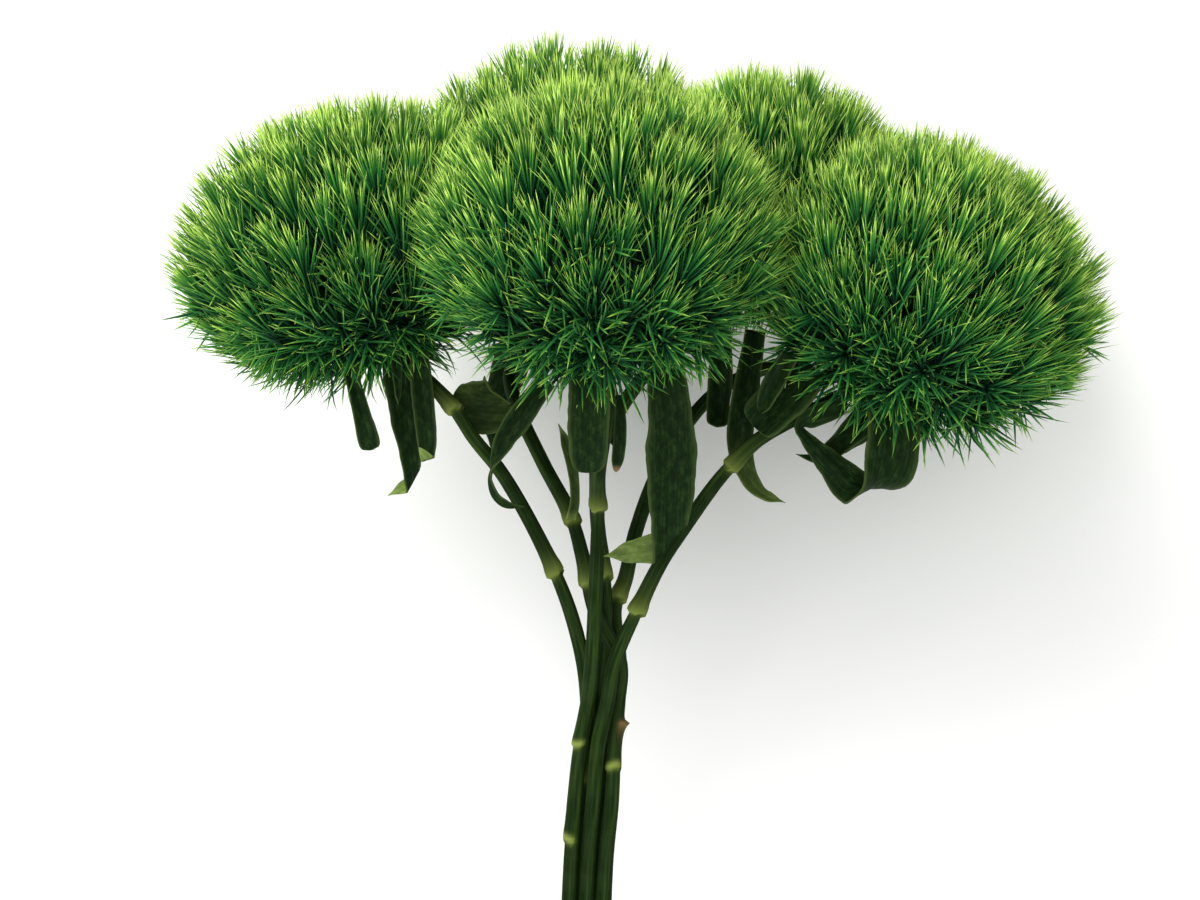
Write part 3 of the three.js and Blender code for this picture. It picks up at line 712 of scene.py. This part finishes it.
def make_leaf(name, leaf):
    """A blade along its route: cupped, ragged at the rims, waved and keeled."""
    shape, growth, tint = new_shape()
    bmesh.ops.create_grid(shape, x_segments=LEAF_CELLS, y_segments=LEAF_STEPS, size=1)
    route = smooth_route(leaf["route"], LEAF_SPACING)
    ahead = headings(route)
    length = sum((b - a).length for a, b in zip(route, route[1:]))
    wander = random.Random(name).uniform(0, 50)
    for v in shape.verts:
        across, share = v.co.x, (v.co.y + 1) / 2
        at = min(share * (len(route) - 1), len(route) - 1.001)
        i, part = int(at), at - int(at)
        place, heading = route[i].lerp(route[i + 1], part), ahead[i].lerp(ahead[i + 1], part)
        side = heading.cross(at_share(leaf["faces"], share)).normalized()
        up = side.cross(heading).normalized()
        along = share * length
        ragged = 1 + 0.04 * noise(Vector((wander + along / 2.5, across * 0.7, 5)))
        half = at_share(leaf["widths"], share) / 2 * math.sqrt(max(0.01, 1 - share ** leaf["end"])) * ragged
        cup = leaf["cup"] * half * across * across * (1 - 0.5 * share)
        cup += leaf.get("roll", 0) * half * max(0, -across) ** 3
        wave = 0.5 * min(1, half / 3) * across * across * noise(Vector((wander + along / 6, across, 0)))
        keel = -0.35 * max(0, 1 - abs(across) * 4) * min(1, half / 3)
        v.co = place + side * across * half + up * (cup + wave + keel)
        v[growth] = (across * half, along, 0)
        pale = at_share(leaf.get("pale", [(0, 0), (1, 0)]), share)
        # the paler edge: partly the leaf's own colour, partly painted highlight
        pale_lit_rim = min(1, max(0, (abs(across) - 0.8) * 5)) * 0.55
        brown = min(1, max(0, (share - leaf.get("brown", NEVER_BROWN)) * 14))
        v[tint] = (pale, pale_lit_rim, brown)
    if "fold" in leaf:
        fold_tip(shape, tint, leaf["fold"])
    piece = lay_piece(shape, name, LEAF)
    wall = piece.modifiers.new("thickness", "SOLIDIFY")
    wall.thickness = LEAF_THICKNESS / 1000
    wall.offset = 0
    return piece


CREASE_ROUNDING, FOLD_HEIGHT = 0.6, 0.9  # how soon past the crease the folded tip lies off the blade, and how far


def fold_tip(shape, tint, fold):
    """Folds the blade sharply over at a crease, so that its tip shows the light underside."""
    crease, way = Vector((*fold["at"], 0)), Vector((*fold["way"], 0)).normalized()
    everything = shape.verts[:] + shape.edges[:] + shape.faces[:]
    bmesh.ops.bisect_plane(shape, geom=everything, dist=1e-5, plane_co=crease, plane_no=way)
    for v in shape.verts:
        beyond = (v.co - crease).dot(way)
        if beyond > 1e-4:
            v.co -= way * 2 * beyond
            v.co.z += fold["side"] * (1 - math.exp(-beyond / CREASE_ROUNDING)) * FOLD_HEIGHT
            v[tint] = (fold["pale"], v[tint].y, 0)


for name, leaf in LEAVES.items():
    make_leaf(name, leaf)

# ---- heads

# share of a needle's length, and its width there, for straight needles and for curling ones
STRAIGHT = ((0, 0.8), (0.4, 1), (0.76, 0.66), (1, 0))
CURLING = ((0, 0.8), (0.3, 1), (0.58, 0.86), (0.82, 0.56), (1, 0))
FLATNESS = 0.6  # a needle's thickness over its width
TUFT_HEIGHT = 24
LONGEST_NEEDLE = 20
PAIR_TURN, PAIR_PLAY = 79, 28  # degrees from one pair of needles to the next, and how loosely


def upright_bristle(outline):
    """One upright needle, a unit long and wide, with three long faces that meet in a point."""
    shape, growth, _ = new_shape()
    ring = bmesh.ops.create_circle(shape, cap_ends=False, radius=0.5, segments=3)["verts"]
    rings = [ring]
    for (earlier, _), (level, _) in zip(outline, outline[1:]):
        ring = extrude_ring(shape, ring)
        bmesh.ops.translate(shape, vec=(0, 0, level - earlier), verts=ring)
        rings.append(ring)
    for (_, width), ring in zip(outline, rings):
        bmesh.ops.scale(shape, vec=(width, width * FLATNESS, 1), verts=ring)
    bmesh.ops.remove_doubles(shape, verts=ring, dist=1e-4)
    bmesh.ops.recalc_face_normals(shape, faces=shape.faces)
    return mesh_of(shape, "bristle")


BRISTLES = {outline: upright_bristle(outline) for outline in (STRAIGHT, CURLING)}


def bend_bristle(shape, growth, outline, start, turn, lean, bend, length, width, chance):
    """Adds one needle to a tuft. It leaves the tuft's axis at start, leaning out by lean, and its lean
    changes by bend on the way to the point."""
    known = len(shape.verts)
    shape.from_mesh(BRISTLES[outline])
    shape.verts.ensure_lookup_table()
    outwards = Vector((math.cos(turn), math.sin(turn), 0))
    sideways = Vector((-math.sin(turn), math.cos(turn), 0))
    for v in shape.verts[known:]:
        share = v.co.z
        # the curve's place is worked out in short straight steps, bending more towards the point
        steps = 8
        middle = Vector((0, 0, start))
        for i in range(steps):
            at = share * (i + 0.5) / steps
            now = lean + bend * at * at
            middle += (outwards * math.sin(now) + Vector((0, 0, math.cos(now)))) * (share * length / steps)
        now = lean + bend * share * share
        back = outwards * math.cos(now) - Vector((0, 0, math.sin(now)))
        # the third number, set later, is how new the growth is, with painted light on the head's upper side
        v[growth] = (share, chance, 0)  # along, own lightness, and freshness, set later
        v.co = middle + sideways * v.co.x * width + back * v.co.y * width


def make_tuft(seed, outline, pairs, widest, curl, widths=(0.62, 0.86), loose=16, shaded=1):
    """One flower bud's tuft, TUFT_HEIGHT tall: crossed pairs of needles up a short axis, the lowest ones leaning
    out by widest degrees and curling by curl degrees more, each up to loose degrees off. A tuft that is shaded
    below 1 stays as dark as the lower part of a needle."""
    chance = random.Random(seed)
    shape, growth, _ = new_shape()
    for i in range(pairs):
        share = i / (pairs - 1)
        for half in (0, 1):
            turn = math.radians(i * PAIR_TURN + half * 180 + chance.uniform(-PAIR_PLAY, PAIR_PLAY))
            lean = math.radians(widest * (1 - share) ** 0.7 + chance.uniform(1, 8))
            bend = math.radians(chance.uniform(-loose, loose) + curl * (1 - share))
            start = 0.5 + 9 * share
            length = min(LONGEST_NEEDLE, (TUFT_HEIGHT - start) / math.cos(min(0.8, lean))) * chance.uniform(0.8, 1)
            width = chance.uniform(*widths)
            bend_bristle(shape, growth, outline, start, turn, lean, bend, length, width, chance.random())
    for v in shape.verts:
        v[growth].x *= shaded
    return mesh_of(shape, "tuft")


# brushes stand on a head's upper part, stars curl and rosettes lie open below, and fillers close the inside
BRUSHES = [make_tuft(10 + i, STRAIGHT, 20, 21 + 3 * (i % 3), 3) for i in range(10)]
STARS = [make_tuft(40 + i, CURLING, 13, 70, -34 + 34 * (i % 3), (0.8, 1.05), 34) for i in range(8)]
# fillers are painted darker, shaded 0.55, as painted shade deep inside the head
FILLERS = [make_tuft(70 + i, STRAIGHT, 9, 60, 0, shaded=0.55) for i in range(5)]
ROSETTES = [make_tuft(90 + i, CURLING, 12, 80, -34 + 10 * (i % 3), (1.1, 1.4), 22) for i in range(6)]
ROSETTE_SCALE = 0.72
ROSETTE_TRIES = 100  # most are left out

OUTER_TUFTS, OUTER_SUNK, OUTER_THINNED = 240, (-1.5, 1.5), 0.72
INNER_TUFTS, INNER_SUNK, INNER_THINNED = 130, (8, 15), 0
UPPER_PART = 0.22  # brushes grow where the way outwards rises this much or more


def even_directions(count):
    """Directions spread evenly over a sphere."""
    for i in range(count):
        z = 1 - 2 * (i + 0.5) / count
        flat = math.sqrt(1 - z * z)
        turn = i * math.pi * (3 - math.sqrt(5))
        yield Vector((flat * math.cos(turn), z, flat * math.sin(turn)))


def cad_surface(node):
    """The CAD node's surface in the bouquet's own frame."""
    shape = bmesh.new()
    shape.from_mesh(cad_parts[node].data)
    bmesh.ops.transform(shape, matrix=LYING.inverted(), verts=shape.verts)
    tree = BVHTree.FromBMesh(shape)
    shape.free()
    return tree


def jitter(chance, most):
    """A small random push, up to most each way."""
    return Vector([chance.uniform(-most, most) for _ in range(3)])


def planted(tip, lean, spin, width, length):
    """The matrix that puts a tuft's point at tip, leaning that way and turned by spin round its own axis."""
    turn = UPRIGHT.rotation_difference(lean) @ Quaternion((0, 0, 1), spin)
    return Matrix.LocRotScale(tip - lean * TUFT_HEIGHT * length, turn, Vector((width, width, length)))


def place_tufts(name, head, count, sunk, thinned, kinds, chance):
    """Tufts over the head's dome, as pairs of a tuft and its placing matrix. Their points end sunk millimetres
    inside the CAD surface, fuller at the top and less full below. kinds: the tufts of the upper part and of the
    lower part, where the share thinned is left out."""
    surface = cad_surface(name)
    middle, start = Vector(head["middle"]), receptacle(head)
    up = Vector(head["lean"]).normalized()
    placed = []
    for direction in even_directions(count):
        direction = (direction + jitter(chance, 0.07)).normalized()
        direction = Vector((0, 1, 0)).rotation_difference(up) @ direction
        hit = surface.ray_cast(middle, direction)[0]
        outwards = (hit - start).normalized()
        rise = outwards.dot(up)
        low = eased(-rise, -0.35, 0.25)
        if rise < -0.86 or chance.random() < thinned * low:
            continue
        # fuller at the top, by 4 mm, and less full below, by 3 mm, and at the waist, by 2 mm
        proud = 4 * eased(rise, 0, 0.8) - 3 * eased(-rise, -0.45, 0.4) - 2 * max(0, 1 - 3 * rise * rise)
        tip = hit + outwards * (proud - chance.uniform(*sunk) - 1.5 * noise(hit / 13))
        lean = outwards + up * 0.6 * eased(rise, -0.1, 0.6) + jitter(chance, 0.13 + 0.1 * low)
        if outwards.z > 0:  # low tufts on the side away from the table turn up
            lean.z += 0.8 * low
        lean.normalize()
        size = min(1.1, ((tip - start).length - 1) / TUFT_HEIGHT) * chance.uniform(0.92, 1.08)
        if size < 0.4:
            continue
        tuft = chance.choice(kinds[rise < UPPER_PART])
        placed.append((tuft, planted(tip, lean, chance.uniform(0, 6.3), 1, size)))
    return placed


def place_rosettes(name, head, chance):
    """Wide open tufts on the lower part of the head, facing up from the table."""
    surface = cad_surface(name)
    middle, up = Vector(head["middle"]), Vector(head["lean"]).normalized()
    placed = []
    for direction in even_directions(ROSETTE_TRIES):
        hit = surface.ray_cast(middle, direction)[0]
        if direction.z < 0.2 or not -0.8 < direction.dot(up) < 0.18:
            continue
        lean = (direction + Vector((0, 0.1, 0.8)) + jitter(chance, 0.3)).normalized()
        tip = hit + direction * chance.uniform(-1, 2.5)
        spin = chance.uniform(0, 6.3)
        size = ROSETTE_SCALE * chance.uniform(0.85, 1.1)
        placed.append((chance.choice(ROSETTES), planted(tip, lean, spin, size, size)))
    return placed


def place_hanging(head, chance):
    """The loose tufts below a head, each from its root to its point."""
    placed = []
    for root, tip in head.get("hanging", []):
        way = Vector(tip) - Vector(root)
        placed.append((chance.choice(BRUSHES), planted(Vector(tip), way.normalized(), 0, 1, way.length / TUFT_HEIGHT)))
    return placed


LIMBS, LIMB_LENGTH = 16, 9


def branches(start, ends):
    """The forked stalks from the receptacle to each tuft."""
    shape, growth, _ = new_shape()
    limbs = [start + direction * LIMB_LENGTH for direction in even_directions(LIMBS)]
    for limb in limbs:
        add_stalk(shape, growth, start, limb, 1.5, 1.1)
    for end in ends:
        fork = min(limbs, key=lambda limb: (limb - end).length)
        add_stalk(shape, growth, fork, end, 0.75, 0.5)
    return mesh_of(shape, "branches")


def add_stalk(shape, growth, a, b, thick, thin):
    along = b - a
    turn = UPRIGHT.rotation_difference(along.normalized())
    made = bmesh.ops.create_cone(
        shape, cap_ends=False, segments=5, radius1=thick, radius2=thin, depth=along.length,
        matrix=Matrix.LocRotScale((a + b) / 2, turn, None),
    )
    for v in made["verts"]:
        # painted shade: the stalks deep inside the head are painted as dark as a needle's base
        v[growth] = (0.12, 0.5, 0)  # as dark as a needle's base


def join_placed(placed):
    """One mesh of all the placed meshes."""
    parts = []
    for mesh, matrix in placed:
        part = add_object("part", mesh)
        part.matrix_world = matrix
        parts.append(part)
    whole = add_object("whole", bpy.data.meshes.new("whole"))
    bpy.context.view_layer.update()
    with bpy.context.temp_override(active_object=whole, object=whole, selected_editable_objects=[whole, *parts]):
        bpy.ops.object.join()
    mesh = whole.data
    bpy.data.objects.remove(whole)
    return mesh


STALK_REACH = 3  # how far a stalk goes up into its tuft
# where the head is darkest and lightest: older and newer growth, with painted shade below and painted light on top
FRESH_AND_LIT_FROM, FRESH_AND_LIT_TO = -0.75, 0.85  # where growth is oldest and newest, in radii from the head's middle
TABLE_UP = (LYING.to_3x3().inverted() @ UPRIGHT).normalized()
TABLE_LEVEL = (LYING.inverted() @ Vector()).dot(TABLE_UP)
TABLE_GAP, TABLE_PRESS = 1, 0.93  # needles closer to the table are pressed up by this much of what they lack


def make_head(name, head):
    """A branched head of needles, the lowest ones pressed up where they would go through the table."""
    chance = random.Random(name)
    tufts = place_tufts(name, head, OUTER_TUFTS, OUTER_SUNK, OUTER_THINNED, (BRUSHES, STARS), chance)
    tufts += place_rosettes(name, head, chance)
    inner = place_tufts(name, head, INNER_TUFTS, INNER_SUNK, INNER_THINNED, (FILLERS, FILLERS), chance)
    tufts += place_hanging(head, chance) + inner
    ends = [matrix @ Vector((0, 0, STALK_REACH)) for _, matrix in tufts]
    mesh = join_placed(tufts + [(branches(receptacle(head), ends), Matrix())])
    shape = bmesh.new()
    shape.from_mesh(mesh)
    bpy.data.meshes.remove(mesh)
    growth = shape.verts.layers.float_vector["growth"]
    middle, up = Vector(head["middle"]), Vector(head["lean"]).normalized()
    for v in shape.verts:
        # lighter up the head: newer growth, and painted light on the upper side with painted shade on the lower
        v[growth].z = eased((v.co - middle).dot(up) / head["radius"], FRESH_AND_LIT_FROM, FRESH_AND_LIT_TO)
        height = v.co.dot(TABLE_UP) - TABLE_LEVEL
        if height < TABLE_GAP:
            v.co += TABLE_UP * ((TABLE_GAP - height) * TABLE_PRESS)
    return lay_piece(shape, name, BRACT)


for name, head in HEADS.items():
    make_head(name, head)

# ---- twine tie

TWINE_PLY = 0.42
PLY_OFFSET = 0.36  # from the middle of the twine to the middle of each ply
TWINE_TWIST = 2.6  # millimetres per turn of the two plies
TWINE_SPACING = 0.45
TWINE_MARGIN = 1.15  # from the stems' skin to the middle of the twine
TWINE_TURNS, TURN_RISE = 4, 1.5
ALONG_BUNDLE = Vector((0, 0.96, 0.28))  # tipped, so that no stretch of the twine runs along it


def bundle_outline(margin):
    """Points round the stems at the tie, margin outside them, in order round the bundle."""
    corners = []
    for stem in STEMS.values():
        x, z = stem["slots"][0]
        for i in range(FINE_STEPS):
            turn = i / FINE_STEPS * 2 * math.pi
            radius = STEM_DIAMETER / 2 + margin
            corners.append((x * PITCH + math.cos(turn) * radius, z * PITCH + math.sin(turn) * radius))
    corners.sort()

    def chain(points):
        """The corners that a tight string round one side touches."""
        kept = []
        for p in points:
            while len(kept) > 1:
                (ax, ay), (bx, by) = kept[-2], kept[-1]
                if (bx - ax) * (p[1] - ay) - (by - ay) * (p[0] - ax) > 1e-9:
                    break
                kept.pop()
            kept.append(p)
        return kept[:-1]

    x = dict(STATIONS)[TIE_HEIGHT]
    return [Vector((px + x, 0, pz)) for px, pz in chain(corners) + chain(corners[::-1])]


def lay_twine(shape, growth, tint, route):
    """Two twisted plies along a route, closed at both ends."""
    ahead = headings(route)
    for ply in (0, 1):
        strand = []
        for i, (place, heading) in enumerate(zip(route, ahead)):
            side = heading.cross(ALONG_BUNDLE).normalized()
            turn = i * TWINE_SPACING / TWINE_TWIST * 2 * math.pi + ply * math.pi
            strand.append(place + (side * math.cos(turn) + heading.cross(side) * math.sin(turn)) * PLY_OFFSET)
        for ring in sweep(shape, growth, tint, strand, lambda *_: TWINE_PLY, lambda *_: (0, 0, 0), 6):
            fill_ring(shape, ring)


def make_tie():
    """Twine wound round the bundle, with its two ends knotted."""
    shape, growth, tint = new_shape()
    outline = bundle_outline(TWINE_MARGIN)
    winding = []
    for i in range(TWINE_TURNS * len(outline) + 1):
        place = outline[i % len(outline)].copy()
        place.y = TIE_HEIGHT - TWINE_TURNS * TURN_RISE / 2 + TURN_RISE * i / len(outline)
        winding.append(place)
    lay_twine(shape, growth, tint, smooth_route(winding, TWINE_SPACING))
    # the knot: the two ends cross on the upper side of the bundle
    knot = max(outline, key=lambda place: place.z) + Vector((0.5, TIE_HEIGHT, 1.2))
    for end in (
        [(-3.2, -3, -0.6), (-1, -1.2, 0.4), (1.3, 1.4, 0.4), (2, 3.6, 0), (3.2, 7.5, -0.5), (3, 12, -0.6)],
        [(-3.2, 3, -0.6), (-1, 1.2, 1.5), (1.3, -1.4, 1.5), (2.2, -3.6, 0.6), (3.8, -7, -0.4), (4.6, -10.5, -0.6)],
    ):
        lay_twine(shape, growth, tint, smooth_route([knot + Vector(step) for step in end], TWINE_SPACING))
    bmesh.ops.recalc_face_normals(shape, faces=shape.faces)
    return lay_piece(shape, "twine_tie", TWINE)


make_tie()

# ---- table, light and camera


def make_table():
    """A pale matt table top."""
    shape = bmesh.new()
    bmesh.ops.create_grid(shape, x_segments=1, y_segments=1, size=3)
    material, _, skin = new_material("painted_table")
    skin.inputs["Base Color"].default_value = linear("#f6f6f4")
    skin.inputs["Roughness"].default_value = 0.9
    mesh = mesh_of(shape, "table")
    mesh.materials.append(material)
    add_object("table", mesh)


def add_light(name, place, aim, size, watts):
    """A round soft light at a place in the bouquet's own frame, facing aim. Its size is in metres."""
    lamp = bpy.data.lights.new(name, "AREA")
    lamp.shape = "DISK"
    lamp.size = size
    lamp.energy = watts
    light = add_object(name, lamp)
    at, towards = LYING @ Vector(place), LYING @ Vector(aim)
    light.location = at
    light.rotation_euler = (towards - at).to_track_quat("-Z", "Y").to_euler()


make_table()
add_light("key", (-720, 1120, 600), (0, 250, 10), 1.5, 19)
add_light("fill", (-250, 0, 1250), (0, 260, 0), 1.2, 6)

scene = bpy.context.scene
world = bpy.data.worlds.new("studio")
scene.world = world
world.use_nodes = True
studio = world.node_tree.nodes["Background"]
studio.inputs["Color"].default_value = linear("#ffffff")
studio.inputs["Strength"].default_value = 0.9
scene.view_settings.view_transform = "Standard"

# The camera looks straight down on the bouquet's upper side from 1 m over the front head's middle.
CAMERA_DISTANCE = 1000
VIEW_WIDTH = 312  # what the view takes in across, at the front head
CAMERA_PLACE = Vector((0, 229.7, HEADS["head_front"]["middle"][2] + CAMERA_DISTANCE))
lens = bpy.data.cameras.new("camera")
lens.sensor_width = 36
lens.lens = lens.sensor_width * CAMERA_DISTANCE / VIEW_WIDTH
camera = add_object("camera", lens)
camera.matrix_world = Matrix.Translation(LYING @ CAMERA_PLACE) @ Matrix.Rotation(LYING_TILT, 4, "X")
scene.camera = camera
